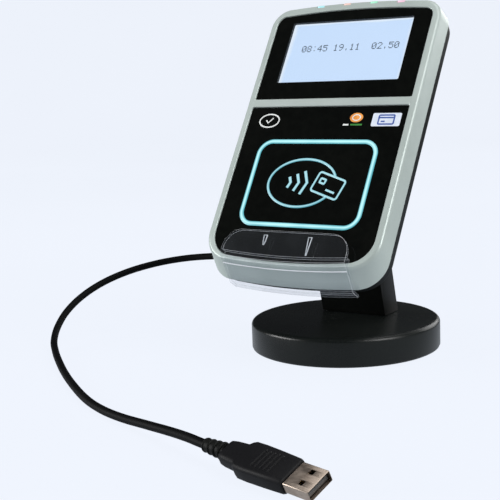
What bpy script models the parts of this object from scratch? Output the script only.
"""Contactless ticket validator with a display, on a round weighted desk stand.

A flat reader with a silver front shell and a black rear shell leans back on a tilting hinge
at the top of a short neck. A clear card holder clips over its lower end, and a USB lead
leaves the side of the neck and lies on the desk.

World frame: +Z up, the reader faces -Y, and the origin is the centre of the stand's underside.
Reader frame: X across, Y up the face from its lower end, Z out of the face from its rim.
All lengths are in metres.
"""

import math

import bmesh
import bpy
from mathutils import Euler, Matrix, Vector
from mathutils.geometry import interpolate_bezier

# ---------------------------------------------------------------- driving dimensions
GAP = 0.0003                    # clearance between pieces that touch

READER_WIDTH = 0.100
READER_LENGTH = 0.1585
READER_DEPTH = 0.021
READER_TILT = math.radians(32.3)  # lean of the face back from upright, at rest
HINGE = Vector((0, -0.0006, 0.081))
HINGE_UP_FACE = 0.0629          # hinge axis, measured up the reader's face
HINGE_BEHIND_FACE = 0.0353      # hinge axis, measured back from the front rim

SPLIT_DEPTH = 0.0119            # front and rear shells meet this far behind the rim
SHELL_WALL = 0.0025
CHIN_LENGTH = 0.0074            # the face's flat rim starts this far above the lower end
SIDE_ARCH = 0.0016              # bulge of the upper and lower edges
LOW_CORNER = 0.015              # radius of the reader's lower corners
TOP_CORNER = 0.0105

PANEL_HALF_WIDTH = 0.0459
PANEL_THICKNESS = 0.0015
PANEL_SUNK = 0.0006             # panels lie this far below the rim
PANEL_LOW = 0.0086
CROSSBAR = (0.0956, 0.1000)     # silver bar between the two panels
PANEL_HIGH = 0.1538

SCREEN_HALF_WIDTH = 0.0356
SCREEN = (0.1104, 0.1473)
RING_HALF_WIDTH = 0.0349        # lit frame round the tap target
RING = (0.0277, 0.0765)
RING_LINE = 0.0022
ICON_CENTRE = (-0.0034, 0.0521)
ICON_HALF = (0.0199, 0.0138)    # lit oval inside the frame
ICON_LINE = 0.0012

STATUS_MIDDLE = 0.0023          # the row of status lights is this far right of centre
STATUS_PITCH = 0.0158
STATUS_WIDTH = 0.0040

HOLDER_HALF_WIDTH = 0.0355
HOLDER_TOP = 0.0232
HOLDER_WALL = 0.0016
HOLDER_POCKET = 0.0030          # space for a card between the rim and the clear plate

BASE_RADIUS = 0.050
BASE_HEIGHT = 0.0151
BASE_BEVEL = 0.0024
BASE_WALL = 0.0026
BASE_SCREW_CIRCLE = 0.042

NECK_HALF_WIDTH = 0.019
NECK_DEPTH = 0.015
NECK_FOOT_Y = 0.017             # centre of the neck's foot
EAR_RADIUS = 0.008
EAR_INNER = 0.0128              # inner faces of the fork's ears
HINGE_TUBE = (0.0025, 0.0040)   # inner and outer radius
TUBE_SLACK = 0.0002             # clearance round the hinge tube
BARREL_RADIUS = 0.007

GLAND_Z = 0.0425
GLAND_LENGTH = 0.020
CORD_RADIUS = 0.0019

PLUG_START = Vector((0.0417, -0.1842, 0.0068))
PLUG_HEADING = math.radians(-13.8)
PLUG_DIP = math.radians(1.0)    # its nose points down a little
PLUG_ROLL = math.radians(25)    # it lies on one long edge
RELIEF_LENGTH = 0.0120
PLUG_BODY = (0.0355, 0.0150, 0.0072)
PLUG_WAIST = (0.0105, 0.0110, 0.0064)
WAIST_SHOWING = 0.0095          # length of the waist behind the plug's wide part
PLUG_SHELL = (0.0120, 0.0120, 0.0045)
SHEET = 0.0003                  # wall of the plug's metal shell

BEYOND = 0.001                  # cutters reach this far past the faces they cut
CASE_BOSS = 0.0033              # radius of the posts the case screws bite into
CASE_BORE = 0.0015
BRACKET_BORE = 0.0014
BASE_BOSS = 0.0032
BASE_BORE = 0.0017
NECK_BORE = 0.0016


# ---------------------------------------------------------------- scene and materials
def clear_scene():
    for thing in list(bpy.data.objects):
        bpy.data.objects.remove(thing, do_unlink=True)


def material(name, colour, roughness, metallic=0.0, alpha=1.0):
    made = bpy.data.materials.new(name)
    made.use_nodes = True
    shader = made.node_tree.nodes["Principled BSDF"]
    shader.inputs["Base Color"].default_value = (*colour, 1.0)
    shader.inputs["Roughness"].default_value = roughness
    shader.inputs["Metallic"].default_value = metallic
    shader.inputs["Alpha"].default_value = alpha
    made.diffuse_color = (*colour, alpha)
    return made


def make_materials():
    return {
        "silver_plastic": material("silver_plastic", (0.42, 0.50, 0.49), 0.38),
        "black_satin": material("black_satin", (0.012, 0.014, 0.016), 0.5),
        "base_black": material("base_black", (0.014, 0.015, 0.016), 0.42),
        "panel_black": material("panel_black", (0.003, 0.004, 0.003), 0.06),
        "clear_plastic": material("clear_plastic", (0.80, 0.84, 0.86), 0.05, alpha=0.3),
        "screen_lens": material("screen_lens", (0.75, 0.82, 0.90), 0.04, alpha=0.3),
        "screen_lit": material("screen_lit", (0.60, 0.77, 1.0), 0.3),
        "light_line": material("light_line", (0.48, 0.91, 1.0), 0.3),
        "status_cyan": material("status_cyan", (0.20, 0.75, 0.80), 0.25),
        "status_amber": material("status_amber", (0.90, 0.45, 0.25), 0.25),
        "status_green": material("status_green", (0.15, 0.70, 0.30), 0.25),
        "status_red": material("status_red", (0.85, 0.15, 0.20), 0.25),
        "steel": material("steel", (0.56, 0.57, 0.58), 0.3, metallic=1.0),
        "screw_black": material("screw_black", (0.03, 0.03, 0.03), 0.35, metallic=1.0),
        "circuit_board": material("circuit_board", (0.02, 0.12, 0.05), 0.4),
        "chip_black": material("chip_black", (0.02, 0.02, 0.02), 0.45),
        "ferrite": material("ferrite", (0.06, 0.06, 0.065), 0.6),
        "rubber": material("rubber", (0.015, 0.015, 0.015), 0.85),
        "cord_black": material("cord_black", (0.010, 0.010, 0.011), 0.5),
        "plug_metal": material("plug_metal", (0.60, 0.55, 0.48), 0.28, metallic=1.0),
        "tongue_white": material("tongue_white", (0.70, 0.70, 0.68), 0.4),
    }


# ---------------------------------------------------------------- shape helpers
def finish_mesh(bm, name, look=None, parent=None, smooth=True):
    """Make an object of a bmesh, with its faces pointing out."""
    bmesh.ops.recalc_face_normals(bm, faces=bm.faces)
    mesh = bpy.data.meshes.new(name)
    bm.to_mesh(mesh)
    bm.free()
    if smooth:
        mesh.shade_smooth()
        mesh.set_sharp_from_angle(angle=math.radians(35))
    made = bpy.data.objects.new(name, mesh)
    bpy.context.collection.objects.link(made)
    if look:
        mesh.materials.append(LOOKS[look])
    if parent:
        made.parent = parent
    return made


def loft(name, rings, look=None, parent=None, hollow=False):
    """A solid skinned over rings of as many points each, capped, or closed on itself if hollow."""
    bm = bmesh.new()
    rows = [[bm.verts.new(point) for point in ring] for ring in rings]
    pairs = list(zip(rows, rows[1:]))
    if hollow:
        pairs.append((rows[-1], rows[0]))
    count = len(rows[0])
    for low, high in pairs:
        for i in range(count):
            j = (i + 1) % count
            bm.faces.new((low[i], low[j], high[j], high[i]))
    if not hollow:
        bm.faces.new(rows[0])
        bm.faces.new(rows[-1])
    return finish_mesh(bm, name, look, parent)


def block(name, low, high, look=None, parent=None):
    """A box between two corners."""
    bm = bmesh.new()
    bmesh.ops.create_cube(bm, size=1.0)
    low, high = Vector(low), Vector(high)
    size = high - low
    for vert in bm.verts:
        vert.co = low + Vector((vert.co[i] + 0.5) * size[i] for i in range(3))
    return finish_mesh(bm, name, look, parent, smooth=False)


def turned(name, stations, look=None, parent=None, segments=32, place=None, hollow=False):
    """A body of revolution about Z from (height, radius) stations, moved by place."""
    place = place or Matrix.Identity(4)
    turns = [2 * math.pi * i / segments for i in range(segments)]
    rings = [
        [place @ Vector((r * math.cos(a), r * math.sin(a), z)) for a in turns]
        for z, r in stations
    ]
    return loft(name, rings, look, parent, hollow)


def along_x(x, y, z):
    """Places a turned body with its axis along X."""
    return Matrix.Translation((x, y, z)) @ Matrix.Rotation(math.pi / 2, 4, "Y")


def rounded(half_width, low, high, low_radius, high_radius, low_arch=0.0, high_arch=0.0):
    """Outline points, anticlockwise, of a rectangle with round corners and bowed ends."""
    steps = 6

    def corner(x, y, radius, start):
        angles = [math.radians(start + 90 * i / steps) for i in range(steps + 1)]
        return [(x + radius * math.cos(a), y + radius * math.sin(a)) for a in angles]

    def bowed(reach, level, arch, sign):
        spots = [reach * (1 - 2 * i / steps) * sign for i in range(1, steps)]
        return [(x, level + arch * (x / reach) ** 2) for x in spots]

    low_reach, high_reach = half_width - low_radius, half_width - high_radius
    low_y, high_y = low + low_arch + low_radius, high - high_arch - high_radius
    return (
        corner(high_reach, high_y, high_radius, 0)
        + bowed(high_reach, high, -high_arch, 1)
        + corner(-high_reach, high_y, high_radius, 90)
        + corner(-low_reach, low_y, low_radius, 180)
        + bowed(low_reach, low, low_arch, -1)
        + corner(low_reach, low_y, low_radius, 270)
    )


def at_depth(outline, depth):
    return [Vector((x, y, depth)) for x, y in outline]


def slab(name, outline, low, high, look=None, parent=None):
    """A flat plate of an outline between two depths."""
    return loft(name, [at_depth(outline, low), at_depth(outline, high)], look, parent)


def combine(target, tool, operation="DIFFERENCE"):
    """Cut a tool out of a target, or join it on. The tool stays as a hidden guide."""
    tool.hide_render = True
    tool.hide_set(True)
    tool.display_type = "WIRE"
    step = target.modifiers.new(tool.name, "BOOLEAN")
    step.operation = operation
    step.solver = "EXACT"
    step.object = tool


def screw(name, place, head, shank, parent=None):
    """A screw along Z: head and shank are (radius, length), the head's top at the origin."""
    head_radius, head_length = head
    shank_radius, shank_length = shank
    stations = [
        (-head_length - shank_length, shank_radius * 0.6),
        (-head_length - shank_length + shank_radius * 0.6, shank_radius),
        (-head_length, shank_radius),
        (-head_length, head_radius),
        (-head_length * 0.35, head_radius),
        (0.0, head_radius * 0.75),
    ]
    return turned(name, stations, "screw_black", parent, segments=12, place=place)


# ---------------------------------------------------------------- the reader's case
def case_ring(inset, low, depth, corner=LOW_CORNER):
    half = READER_WIDTH / 2 - inset
    high = READER_LENGTH - inset
    outline = rounded(half, low, high, corner, TOP_CORNER, SIDE_ARCH, SIDE_ARCH)
    return at_depth(outline, depth)


CASE_SCREWS = [(x, y) for y in (0.018, 0.099) for x in (-0.040, 0.040)]
BRACKET_SCREWS = [
    (x, HINGE_UP_FACE + y) for y in (-0.0135, 0.0135) for x in (-0.0155, 0.0155)
]
WINDOW_EDGE = 0.0021            # the shell's window is this much wider than the screen
GUIDE_EDGE = 0.0034             # and the one behind the lit frame this much wider than that
PANEL_FLOOR = -PANEL_SUNK - PANEL_THICKNESS - GAP
FACE_BACK = PANEL_FLOOR - 0.0014    # back of the front shell's face


def panel_outline(which, gap=0.0):
    """Outline of the upper or the lower panel, shrunk by a gap all round."""
    half = PANEL_HALF_WIDTH - gap
    if which == "display":
        low, high = CROSSBAR[1] + gap, PANEL_HIGH - gap
        return rounded(half, low, high, 0.0010, 0.0053 - gap, 0.0, 0.0020)
    low, high = PANEL_LOW + gap, CROSSBAR[0] - gap
    return rounded(half, low, high, 0.0135 - gap, 0.0010, 0.0018, 0.0)


def make_front_shell(reader):
    shell = loft(
        "front_shell",
        [
            case_ring(0.0, 0.0, -SPLIT_DEPTH),
            case_ring(0.0002, CHIN_LENGTH * 0.78, -0.0024),
            case_ring(0.0006, CHIN_LENGTH * 0.89, -0.0010),
            case_ring(0.0016, CHIN_LENGTH, 0.0),
        ],
        "silver_plastic",
        reader,
    )
    cavity = loft(
        "cut_front_cavity",
        [
            case_ring(SHELL_WALL - 0.0003, 0.0024, -SPLIT_DEPTH - 0.001, 0.0132),
            case_ring(SHELL_WALL, 0.0086, FACE_BACK, 0.0132),
        ],
        parent=reader,
    )
    combine(shell, cavity)
    for x, y in CASE_SCREWS:
        boss = turned(
            "add_case_boss",
            [(-SPLIT_DEPTH, CASE_BOSS), (FACE_BACK + 0.0005, CASE_BOSS)],
            parent=reader,
            segments=20,
            place=Matrix.Translation((x, y, 0)),
        )
        combine(shell, boss, "UNION")
        hole = turned(
            "cut_case_boss",
            [(-SPLIT_DEPTH - BEYOND, CASE_BORE), (-0.0062, CASE_BORE)],
            parent=reader,
            segments=12,
            place=Matrix.Translation((x, y, 0)),
        )
        combine(shell, hole)
    for which in ("display", "tap"):
        outline = panel_outline(which)
        combine(shell, slab(f"cut_{which}_recess", outline, PANEL_FLOOR, BEYOND, parent=reader))
    behind = FACE_BACK - BEYOND
    low, high = SCREEN[0] - WINDOW_EDGE, SCREEN[1] + WINDOW_EDGE
    window = rounded(SCREEN_HALF_WIDTH + WINDOW_EDGE, low, high, 0.001, 0.001)
    combine(shell, slab("cut_screen_window", window, behind, 0.0, parent=reader))
    low, high = RING[0] - GUIDE_EDGE, RING[1] + GUIDE_EDGE
    window = rounded(RING_HALF_WIDTH + GUIDE_EDGE, low, high, 0.004, 0.004)
    combine(shell, slab("cut_guide_window", window, behind, 0.0, parent=reader))
    half = STATUS_WIDTH / 2 + GAP
    for x in status_places():
        combine(shell, across_edge("cut_status_notch", x, half, STATUS_NOTCH, reader))
    return shell


# Sections of a status light and of its notch, as (height over the upper edge, depth) points.
STATUS_LENS = [
    (-0.0019, -0.0036),
    (-0.0019, -0.0002),
    (-0.0011, -0.0002),
    (-0.0003, -0.0009),
    (0.0002, -0.0021),
    (0.0002, -0.0036),
]
STATUS_NOTCH = [
    (-0.0019 - GAP, -0.0036 - GAP),
    (-0.0019 - GAP, BEYOND),
    (BEYOND, BEYOND),
    (BEYOND, -0.0036 - GAP),
]


def status_places():
    return [STATUS_MIDDLE + STATUS_PITCH * (i - 1.5) for i in range(4)]


def across_edge(name, x, half_width, section, reader, look=None):
    """A piece let into the case's upper edge at one place across it."""
    edge = READER_LENGTH - SIDE_ARCH * (x / (READER_WIDTH / 2 - TOP_CORNER)) ** 2
    rings = [
        [Vector((x + side * half_width, edge + rise, depth)) for rise, depth in section]
        for side in (-1, 1)
    ]
    return loft(name, rings, look, reader)


def make_status_lenses(reader):
    looks = ("status_cyan", "status_amber", "status_green", "status_red")
    for number, (x, look) in enumerate(zip(status_places(), looks), start=1):
        across_edge(f"status_lens_{number}", x, STATUS_WIDTH / 2, STATUS_LENS, reader, look)


def make_rear_shell(reader):
    front = -SPLIT_DEPTH - GAP
    back = -READER_DEPTH
    shell = loft(
        "rear_shell",
        [
            case_ring(0.0080, 0.0085, back),
            case_ring(0.0042, 0.0045, back + 0.0010),
            case_ring(0.0012, 0.0015, back + 0.0042),
            case_ring(0.0004, 0.0006, front),
        ],
        "black_satin",
        reader,
    )
    cavity = loft(
        "cut_rear_cavity",
        [
            case_ring(0.0066, 0.0070, back + SHELL_WALL),
            case_ring(0.0030, 0.0032, front + 0.001),
        ],
        parent=reader,
    )
    combine(shell, cavity)
    seat = back + 0.0013
    for x, y in CASE_SCREWS:
        spot = Matrix.Translation((x, y, 0))
        hole = turned(
            "cut_case_screw",
            [(back - BEYOND, 0.0032), (seat, 0.0032), (seat, 0.0016), (front, 0.0016)],
            parent=reader,
            segments=12,
            place=spot,
        )
        combine(shell, hole)
    for x, y in BRACKET_SCREWS:
        hole = turned(
            "cut_bracket_screw",
            [(back - BEYOND, BRACKET_BORE), (front, BRACKET_BORE)],
            parent=reader,
            segments=12,
            place=Matrix.Translation((x, y, 0)),
        )
        combine(shell, hole)
    behind = back - BEYOND
    outline = cover_outline(0.0)
    combine(shell, slab("cut_cover_seat", outline, behind, back + COVER_SEAT, parent=reader))
    opening = rounded(0.027, 0.106, 0.136, 0.003, 0.003)
    combine(shell, slab("cut_service_opening", opening, behind, front, parent=reader))
    hole = turned(
        "cut_service_screw",
        [(behind, BRACKET_BORE), (front, BRACKET_BORE)],
        parent=reader,
        segments=16,
        place=Matrix.Translation(SERVICE_SCREW),
    )
    combine(shell, hole)
    return shell


SERVICE_SCREW = Vector((0, 0.1015, 0))
COVER_SEAT = 0.0014             # the cover lies in a seat this deep


def cover_outline(gap):
    return rounded(0.0303 - gap, 0.0970 + gap, 0.1390 - gap, 0.005 - gap, 0.005 - gap)


def make_service_cover(reader):
    back = -READER_DEPTH
    front = back + COVER_SEAT - GAP
    cover = slab("service_cover", cover_outline(GAP), back, front, "black_satin", reader)
    hole = turned(
        "cut_cover_screw",
        [(back - BEYOND, BRACKET_BORE), (front + BEYOND, BRACKET_BORE)],
        parent=reader,
        segments=16,
        place=Matrix.Translation(SERVICE_SCREW),
    )
    combine(cover, hole)
    down = Matrix.Translation(SERVICE_SCREW + Vector((0, 0, back - 0.0013))) @ flipped()
    screw("service_screw", down, (0.0024, 0.0010), (0.0011, 0.0045), reader)


def flipped():
    """Turns a screw so that its head faces backwards out of the rear shell."""
    return Matrix.Rotation(math.pi, 4, "X")


def make_case_screws(reader):
    for number, (x, y) in enumerate(CASE_SCREWS, start=1):
        spot = Matrix.Translation((x, y, -READER_DEPTH + 0.0001)) @ flipped()
        screw(f"case_screw_{number}", spot, (0.0028, 0.0009), (0.0012, 0.0120), reader)


# ---------------------------------------------------------------- the reader's face
def make_panels(reader):
    top = -PANEL_SUNK
    bottom = top - PANEL_THICKNESS
    display = slab("display_panel", panel_outline("display", GAP), bottom, top, "panel_black", reader)
    window = rounded(SCREEN_HALF_WIDTH, *SCREEN, 0.0008, 0.0008)
    low, high = bottom - BEYOND, top + BEYOND
    combine(display, slab("cut_screen_lens", window, low, high, parent=reader))
    lens = rounded(SCREEN_HALF_WIDTH - GAP, SCREEN[0] + GAP, SCREEN[1] - GAP, 0.0005, 0.0005)
    slab("screen_lens", lens, bottom, top, "screen_lens", reader)

    tap = slab("tap_panel", panel_outline("tap", GAP), bottom, top, "panel_black", reader)
    groove = 0.0009
    for name, make, line in (
        ("ring", frame_outline, RING_LINE),
        ("oval", oval_outline, ICON_LINE),
    ):
        cutter = hoop(f"cut_{name}_groove", make, line, GAP, top - groove, top + BEYOND, reader)
        combine(tap, cutter)
        hoop(f"light_{name}", make, line, 0.0, top - groove + GAP, top, reader, "light_line")


def frame_outline(inset):
    radius = 0.0085 - inset
    return rounded(RING_HALF_WIDTH - inset, RING[0] + inset, RING[1] - inset, radius, radius)


def oval_outline(inset):
    half_x, half_y = ICON_HALF[0] - inset, ICON_HALF[1] - inset
    x, y = ICON_CENTRE
    turns = [2 * math.pi * i / 36 for i in range(36)]
    return [(x + half_x * math.cos(a), y + half_y * math.sin(a)) for a in turns]


def hoop(name, make, line, grow, low, high, parent, look=None):
    """A flat closed band between an outline and the same outline inset by the line's width."""
    outer, inner = make(-grow), make(line + grow)
    rings = [
        at_depth(outer, low),
        at_depth(outer, high),
        at_depth(inner, high),
        at_depth(inner, low),
    ]
    return loft(name, rings, look, parent, hollow=True)


# ---------------------------------------------------------------- inside the reader
def make_screen_module(reader):
    front = FACE_BACK - GAP
    half = SCREEN_HALF_WIDTH
    low, high = SCREEN
    frame = block(
        "screen_frame",
        (-half - 0.0039, low - 0.0034, front - 0.0055),
        (half + 0.0039, high + 0.0034, front),
        "steel",
        reader,
    )
    hole = block(
        "cut_screen_frame",
        (-half - 0.0016, low - 0.0016, front - 0.007),
        (half + 0.0016, high + 0.0016, front + 0.001),
        parent=reader,
    )
    combine(frame, hole)
    edge = 0.0016 - GAP
    corners = lambda deep, near: (
        (-half - edge, low - edge, front - deep),
        (half + edge, high + edge, front - near),
    )
    block("screen_glass", *corners(0.0023, 0.0004), "screen_lit", reader)
    block("backlight", *corners(0.0054, 0.0026), "tongue_white", reader)
    block(
        "screen_board",
        (-half - 0.0044, low - 0.0044, front - 0.0072),
        (half + 0.0044, high + 0.0044, front - 0.0058),
        "circuit_board",
        reader,
    )


def make_electronics(reader):
    guide_front = FACE_BACK - GAP
    block(
        "light_guide",
        (-0.0395, 0.0260, guide_front - 0.0020),
        (0.0395, 0.0780, guide_front),
        "clear_plastic",
        reader,
    )
    block(
        "antenna_board",
        (-0.0410, 0.0250, guide_front - 0.0035),
        (0.0410, 0.0920, guide_front - 0.0023),
        "circuit_board",
        reader,
    )
    block(
        "ferrite_sheet",
        (-0.0400, 0.0260, guide_front - 0.0045),
        (0.0400, 0.0910, guide_front - 0.0038),
        "ferrite",
        reader,
    )
    board_back = -0.0148
    low, high = (-0.035, 0.026, board_back), (0.035, 0.146, board_back + 0.0016)
    block("main_board", low, high, "circuit_board", reader)
    back = board_back - GAP
    low, high = (-0.020, 0.062, back - 0.0014), (-0.006, 0.076, back)
    block("processor", low, high, "chip_black", reader)
    low, high = (-0.006, 0.036, back - 0.0032), (0.006, 0.042, back)
    block("lead_connector", low, high, "tongue_white", reader)
    for number, left in enumerate((-0.0255, 0.0015), start=1):
        block(
            f"module_socket_{number}",
            (left, 0.1075, back - 0.0020),
            (left + 0.024, 0.1335, back),
            "chip_black",
            reader,
        )
    turned(
        "buzzer",
        [(back - 0.0030, 0.0055), (back - 0.0024, 0.0060), (back, 0.0060)],
        "chip_black",
        reader,
        segments=24,
        place=Matrix.Translation((0.021, 0.070, 0)),
    )


# ---------------------------------------------------------------- card holder
def make_card_holder(reader):
    """Clear clip: a plate in front of the face, a shelf, and a wrap under the chin."""
    wall = HOLDER_WALL
    plate = HOLDER_POCKET
    shelf = 0.0106
    slack = 0.0005
    slope = Vector((-SPLIT_DEPTH, -CHIN_LENGTH)).normalized()
    out = Vector((-slope.y, slope.x))
    rim = Vector((0.0, CHIN_LENGTH))
    foot = Vector((-SPLIT_DEPTH, 0.0))
    inner_rim, inner_foot = rim + out * slack, foot + out * slack
    outer_rim, outer_foot = rim + out * (slack + wall), foot + out * (slack + wall)
    hook = -0.0165
    stations = 16
    corner = 0.0100

    def section(x):
        """Depth and height of the section's corners at one place across the holder."""
        lift = SIDE_ARCH * (x / 0.035) ** 2
        past = max(0.0, abs(x) - (HOLDER_HALF_WIDTH - corner))
        top = HOLDER_TOP - corner + math.sqrt(max(0.0, corner**2 - past**2))
        points = [
            (plate, top),
            (plate, shelf),
            (slack, shelf),
            (slack, inner_rim.y + 0.0004),
            (inner_foot.x, inner_foot.y),
            (hook, inner_foot.y),
            (hook, outer_foot.y),
            (outer_foot.x, outer_foot.y),
            (plate + wall, outer_rim.y + 0.0017),
            (plate + wall, top),
        ]
        drops = [0.0] + [lift] * 8 + [0.0]
        return [Vector((x, height + drop, depth)) for (depth, height), drop in zip(points, drops)]

    ends = [HOLDER_HALF_WIDTH * math.sin(math.pi * (i / stations - 0.5)) for i in range(stations + 1)]
    holder = loft("card_holder", [section(x) for x in ends], "clear_plastic", reader)
    for side in (-1, 1):
        x = side * 0.0127
        rib = block(
            "add_rib",
            (x - 0.0011, shelf - 0.0005, plate - 0.0007),
            (x + 0.0011, HOLDER_TOP - 0.0016, plate + wall * 0.5),
            parent=reader,
        )
        combine(holder, rib, "UNION")
    return holder


# ---------------------------------------------------------------- hinge
def make_hinge_bracket(reader):
    """Plate on the rear shell with a barrel that turns in the neck's fork."""
    plate_front = -READER_DEPTH - GAP
    plate_back = plate_front - 0.003
    axis = -HINGE_BEHIND_FACE
    half_barrel = EAR_INNER - 0.0016
    outline = rounded(0.020, HINGE_UP_FACE - 0.018, HINGE_UP_FACE + 0.018, 0.003, 0.003)
    bracket = slab("hinge_bracket", outline, plate_back, plate_front, "black_satin", reader)
    web = block(
        "add_bracket_web",
        (-half_barrel, HINGE_UP_FACE - BARREL_RADIUS * 0.99, axis),
        (half_barrel, HINGE_UP_FACE + BARREL_RADIUS * 0.99, plate_back + 0.001),
        parent=reader,
    )
    combine(bracket, web, "UNION")
    place = along_x(0, HINGE_UP_FACE, axis)
    barrel = turned(
        "add_bracket_barrel",
        [(-half_barrel - 0.0001, BARREL_RADIUS), (half_barrel + 0.0001, BARREL_RADIUS)],
        parent=reader,
        place=place,
    )
    combine(bracket, barrel, "UNION")
    bore = turned(
        "cut_bracket_bore",
        [(-0.02, HINGE_TUBE[1] + TUBE_SLACK), (0.02, HINGE_TUBE[1] + TUBE_SLACK)],
        parent=reader,
        place=place,
    )
    combine(bracket, bore)
    for number, (x, y) in enumerate(BRACKET_SCREWS, start=1):
        hole = turned(
            "cut_bracket_hole",
            [(plate_back - BEYOND, BRACKET_BORE), (plate_front + BEYOND, BRACKET_BORE)],
            parent=reader,
            segments=12,
            place=Matrix.Translation((x, y, 0)),
        )
        combine(bracket, hole)
        spot = Matrix.Translation((x, y, plate_back - 0.0013)) @ flipped()
        screw(f"bracket_screw_{number}", spot, (0.0024, 0.0010), (0.0011, 0.0058), reader)


def make_hinge_hardware():
    place = along_x(*HINGE)
    reach = NECK_HALF_WIDTH
    inner, outer = HINGE_TUBE
    tube = [(-reach, inner), (-reach, outer), (reach, outer), (reach, inner)]
    turned("hinge_tube", tube, "steel", segments=24, place=place, hollow=True)
    for name, side in (("left", -1), ("right", 1)):
        near, far = side * (EAR_INNER - 0.0013), side * (EAR_INNER - GAP)
        ring = outer + TUBE_SLACK
        washer = [(near, ring), (near, 0.0066), (far, 0.0066), (far, ring)]
        turned(f"friction_washer_{name}", washer, "steel", segments=24, place=place, hollow=True)
        cap_in, cap_out = side * (reach + GAP), side * (reach + 0.0020)
        stem = side * (reach - 0.0040)
        cap = [
            (stem, inner - GAP),
            (cap_in, inner - GAP),
            (cap_in, 0.0062),
            (cap_out - side * 0.0006, 0.0062),
            (cap_out, 0.0054),
        ]
        turned(f"hinge_cap_{name}", cap, "black_satin", segments=24, place=place)


# ---------------------------------------------------------------- stand
NECK_SCREWS = [(x, NECK_FOOT_Y) for x in (-0.013, 0.013)]


def make_neck():
    """Leaning post with a fork at its top, hollow where the lead runs down it."""
    foot_z = BASE_HEIGHT + GAP
    half_depth = NECK_DEPTH / 2
    foot = Vector((0, NECK_FOOT_Y, foot_z))
    lean = HINGE - foot
    sideways = Vector((0, lean.z, -lean.y)).normalized()
    head_stations = 10

    def ring(x):
        """Side view of the post at one place across it, ending in a round ear."""
        start = math.atan2(sideways.z, sideways.y)
        turns = [start + math.pi * i / head_stations for i in range(head_stations + 1)]
        head = [
            Vector((x, HINGE.y + EAR_RADIUS * math.cos(a), HINGE.z + EAR_RADIUS * math.sin(a)))
            for a in turns
        ]
        return [
            Vector((x, foot.y - half_depth, foot_z)),
            Vector((x, foot.y + half_depth, foot_z)),
            *head,
        ]

    neck = loft("neck", [ring(-NECK_HALF_WIDTH), ring(NECK_HALF_WIDTH)], "base_black")
    slot = block(
        "cut_neck_slot",
        (-EAR_INNER, HINGE.y - 0.02, HINGE.z - BARREL_RADIUS - 0.0025),
        (EAR_INNER, HINGE.y + 0.02, HINGE.z + 0.02),
    )
    combine(neck, slot)
    bore = turned(
        "cut_neck_bore",
        [(-0.03, HINGE_TUBE[1] + TUBE_SLACK), (0.03, HINGE_TUBE[1] + TUBE_SLACK)],
        place=along_x(*HINGE),
    )
    combine(neck, bore)
    shaft = [(-0.008, -0.0045), (0.008, -0.0045), (0.008, 0.0045), (-0.008, 0.0045)]
    shaft_rings = [
        [foot + lean * along + Vector((x, y, 0)) for x, y in shaft]
        for along in (-0.05, 0.78)
    ]
    combine(neck, loft("cut_neck_shaft", shaft_rings))
    for x, y in NECK_SCREWS:
        hole = turned(
            "cut_neck_screw",
            [(foot_z - BEYOND, NECK_BORE), (foot_z + 0.0095, NECK_BORE)],
            segments=12,
            place=Matrix.Translation((x, y, 0)),
        )
        combine(neck, hole)
    gland_hole = turned(
        "cut_gland_hole",
        [(-NECK_HALF_WIDTH - BEYOND, 0.0032), (-0.0075, 0.0032)],
        segments=20,
        place=along_x(0, gland_y(), GLAND_Z),
    )
    combine(neck, gland_hole)
    return neck


def gland_y():
    """The neck's middle at the height where the lead leaves it."""
    foot_z = BASE_HEIGHT + GAP
    share = (GLAND_Z - foot_z) / (HINGE.z - foot_z)
    return NECK_FOOT_Y + (HINGE.y - NECK_FOOT_Y) * share


def make_base():
    radius = BASE_RADIUS
    top = BASE_HEIGHT
    inner = radius - BASE_WALL
    outside = [
        (0.0006, radius - 0.0010),
        (0.0014, radius),
        (top - BASE_BEVEL, radius),
        (top - BASE_BEVEL * 0.62, radius - BASE_BEVEL * 0.12),
        (top - BASE_BEVEL * 0.29, radius - BASE_BEVEL * 0.38),
        (top - BASE_BEVEL * 0.08, radius - BASE_BEVEL * 0.74),
        (top, radius - BASE_BEVEL * 1.15),
    ]
    cover = turned("base_cover", outside, "base_black", segments=64)
    room = [(-BEYOND, inner), (top - BASE_WALL, inner)]
    hollow = turned("cut_base_hollow", room, segments=64)
    combine(cover, hollow)
    for spot in base_screw_places():
        boss = turned(
            "add_base_boss",
            [(0.0033, BASE_BOSS), (top - BASE_WALL + 0.0005, BASE_BOSS)],
            segments=12,
            place=spot,
        )
        combine(cover, boss, "UNION")
        bore = [(0.002, BASE_BORE), (0.010, BASE_BORE)]
        hole = turned("cut_base_boss", bore, segments=16, place=spot)
        combine(cover, hole)
    for x, y in NECK_SCREWS:
        spot = Matrix.Translation((x, y, 0))
        bore = [(0.010, NECK_BORE), (top + BEYOND, NECK_BORE)]
        hole = turned("cut_base_top", bore, segments=16, place=spot)
        combine(cover, hole)

    disc = [(0.0015, inner - GAP), (0.0027, inner - GAP)]
    plate = turned("base_plate", disc, "steel", segments=64)
    for spot in base_screw_places():
        bore = [(0.0, BASE_BORE), (0.004, BASE_BORE)]
        hole = turned("cut_plate_hole", bore, segments=16, place=spot)
        combine(plate, hole)
    weight = [(0.0030, 0.0335), (0.0035, 0.034), (0.0075, 0.034)]
    turned("base_weight", weight, "steel", segments=40)
    pad = [(0.0, 0.0365), (0.0004, 0.037), (0.0012, 0.037)]
    turned("foot_pad", pad, "rubber", segments=48)


def base_screw_places():
    turns = [math.radians(90 + 120 * i) for i in range(3)]
    return [
        Matrix.Translation((BASE_SCREW_CIRCLE * math.cos(a), BASE_SCREW_CIRCLE * math.sin(a), 0))
        for a in turns
    ]


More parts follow.
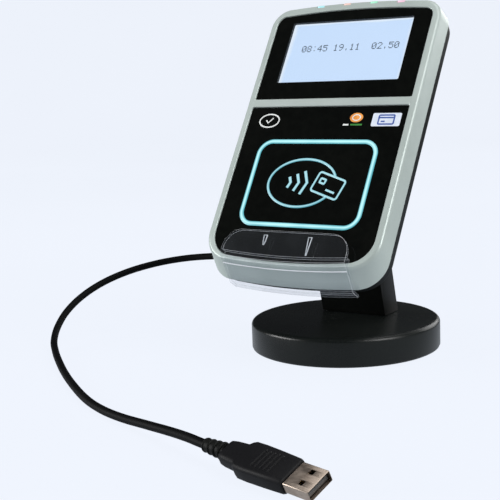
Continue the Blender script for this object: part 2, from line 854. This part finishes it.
def make_stand_screws():
    for number, spot in enumerate(base_screw_places(), start=1):
        upwards = spot @ Matrix.Translation((0, 0, 0.0004)) @ flipped()
        screw(f"base_screw_{number}", upwards, (0.0028, 0.0008), (0.0013, 0.0075))
    for name, (x, y) in zip(("left", "right"), NECK_SCREWS):
        head_top = BASE_HEIGHT - BASE_WALL - GAP - 0.0018
        upwards = Matrix.Translation((x, y, head_top)) @ flipped()
        screw(f"neck_screw_{name}", upwards, (0.0028, 0.0018), (0.0012, 0.0110))


# ---------------------------------------------------------------- lead
def make_gland():
    start = -NECK_HALF_WIDTH - GAP
    end = start - GLAND_LENGTH
    stations = [
        (end, 0.0027),
        (start - 0.0020, 0.0040),
        (start - 0.0020, 0.0052),
        (start, 0.0052),
        (start, 0.0029),
        (start + 0.0060, 0.0029),
    ]
    turned("cord_gland", stations, "cord_black", segments=24, place=along_x(0, gland_y(), GLAND_Z))
    return Vector((end - GAP, gland_y(), GLAND_Z))


def cord_route(exit_point):
    """The lead's route: level out of its gland, down to the desk, then round to the front."""
    y = exit_point.y
    return [
        exit_point,
        Vector((-0.0520, y, 0.0424)),
        Vector((-0.0660, y, 0.0421)),
        Vector((-0.0810, 0.0096, 0.0415)),
        Vector((-0.0970, 0.0082, 0.0404)),
        Vector((-0.1110, 0.0041, 0.0389)),
        Vector((-0.1240, -0.0045, 0.0366)),
        Vector((-0.1355, -0.0165, 0.0330)),
        Vector((-0.1438, -0.0297, 0.0281)),
        Vector((-0.1480, -0.0435, 0.0222)),
        Vector((-0.1485, -0.0565, 0.0156)),
        Vector((-0.1458, -0.0673, 0.0091)),
        Vector((-0.1398, -0.0767, 0.0043)),
        Vector((-0.1305, -0.0858, 0.0022)),
        Vector((-0.1157, -0.0992, 0.0020)),
        Vector((-0.0918, -0.1193, 0.0020)),
        Vector((-0.0668, -0.1380, 0.0020)),
        Vector((-0.0485, -0.1499, 0.0020)),
        Vector((-0.0330, -0.1574, 0.0020)),
        Vector((-0.0175, -0.1630, 0.0025)),
        Vector((0.0000, -0.1688, 0.0039)),
        Vector((0.0185, -0.1756, 0.0057)),
        Vector((0.0305, -0.1804, 0.0067)),
        PLUG_START - plug_direction() * GAP,
    ]


def plug_direction():
    return Euler((0, PLUG_DIP, PLUG_HEADING)).to_matrix() @ Vector((1, 0, 0))


def smooth_line(points, first_way, last_way, pieces):
    """Points on a smooth curve through the given ones, leaving and arriving in given directions."""
    ways = [first_way]
    ways += [(after - before).normalized() for before, after in zip(points, points[2:])]
    ways += [last_way]
    line = [points[0]]
    for start, end, leave, arrive in zip(points, points[1:], ways, ways[1:]):
        third = (end - start).length / 3
        near, far = start + leave * third, end - arrive * third
        line += interpolate_bezier(start, near, far, end, pieces + 1)[1:]
    return line


def make_cord(exit_point):
    line = smooth_line(cord_route(exit_point), Vector((-1, 0, 0)), plug_direction(), 3)
    curve = bpy.data.curves.new("cord", "CURVE")
    curve.dimensions = "3D"
    curve.bevel_depth = CORD_RADIUS
    curve.bevel_resolution = 2
    curve.use_fill_caps = True
    spline = curve.splines.new("POLY")
    spline.points.add(len(line) - 1)
    for point, place in zip(spline.points, line):
        point.co = (*place, 1)
    curve.materials.append(LOOKS["cord_black"])
    bpy.context.collection.objects.link(bpy.data.objects.new("cord", curve))


def plug_block(name, start, size, look, corner, plug):
    """A piece of the plug: a block with round edges along the plug's length."""
    length, width, height = size
    outline = rounded(width / 2, -height / 2, height / 2, corner, corner)
    rings = [[Vector((x, y, z)) for y, z in outline] for x in (start, start + length)]
    return loft(name, rings, look, plug)


def make_plug():
    plug = bpy.data.objects.new("plug_place", None)
    bpy.context.collection.objects.link(plug)
    plug.location = PLUG_START
    plug.rotation_euler = (PLUG_ROLL, PLUG_DIP, PLUG_HEADING)

    stations = [
        (0.0, CORD_RADIUS + 0.0004),
        (0.0010, CORD_RADIUS + 0.0008),
        (RELIEF_LENGTH, CORD_RADIUS + 0.0014),
    ]
    turned("plug_relief", stations, "cord_black", plug, segments=20, place=along_x(0, 0, 0))

    body_start = RELIEF_LENGTH + GAP
    waist = plug_block("add_plug_waist", body_start, PLUG_WAIST, None, 0.0022, plug)
    wide_start = body_start + WAIST_SHOWING
    wide = (PLUG_BODY[0] - WAIST_SHOWING, *PLUG_BODY[1:])
    body = plug_block("plug_body", wide_start, wide, "cord_black", 0.0018, plug)
    combine(body, waist, "UNION")

    shell_start = body_start + PLUG_BODY[0] + GAP
    length, width, height = PLUG_SHELL
    shell = plug_block("plug_shell", shell_start, PLUG_SHELL, "plug_metal", 0.0005, plug)
    mouth = (length + 0.001, width - 2 * SHEET, height - 2 * SHEET)
    combine(shell, plug_block("cut_plug_mouth", shell_start + 0.0005, mouth, None, 0.0003, plug))
    for side in (-1, 1):
        window = block(
            "cut_plug_window",
            (shell_start + 0.0055, side * 0.0028 - 0.0011, 0.001),
            (shell_start + 0.0077, side * 0.0028 + 0.0011, 0.004),
            parent=plug,
        )
        combine(shell, window)
    block(
        "plug_tongue",
        (shell_start + 0.0005 + GAP, -width / 2 + SHEET + GAP, -0.0019 + GAP),
        (shell_start + length - 0.0015, width / 2 - SHEET - GAP, 0.0001),
        "tongue_white",
        plug,
    )


# ---------------------------------------------------------------- assembly
def make_reader_pivot():
    """Empty on the hinge axis, and the reader's frame under it."""
    pivot = bpy.data.objects.new("reader_pivot", None)
    bpy.context.collection.objects.link(pivot)
    pivot.location = HINGE
    pivot.rotation_euler = (math.pi / 2 - READER_TILT, 0, 0)
    face = bpy.data.objects.new("reader_frame", None)
    bpy.context.collection.objects.link(face)
    face.parent = pivot
    face.location = (0, -HINGE_UP_FACE, HINGE_BEHIND_FACE)
    return face


clear_scene()
LOOKS = make_materials()

make_base()
make_neck()
make_stand_screws()
make_hinge_hardware()

reader_frame = make_reader_pivot()
make_front_shell(reader_frame)
make_rear_shell(reader_frame)
make_service_cover(reader_frame)
make_case_screws(reader_frame)
make_panels(reader_frame)
make_status_lenses(reader_frame)
make_screen_module(reader_frame)
make_electronics(reader_frame)
make_hinge_bracket(reader_frame)
make_card_holder(reader_frame)

make_cord(make_gland())
make_plug()
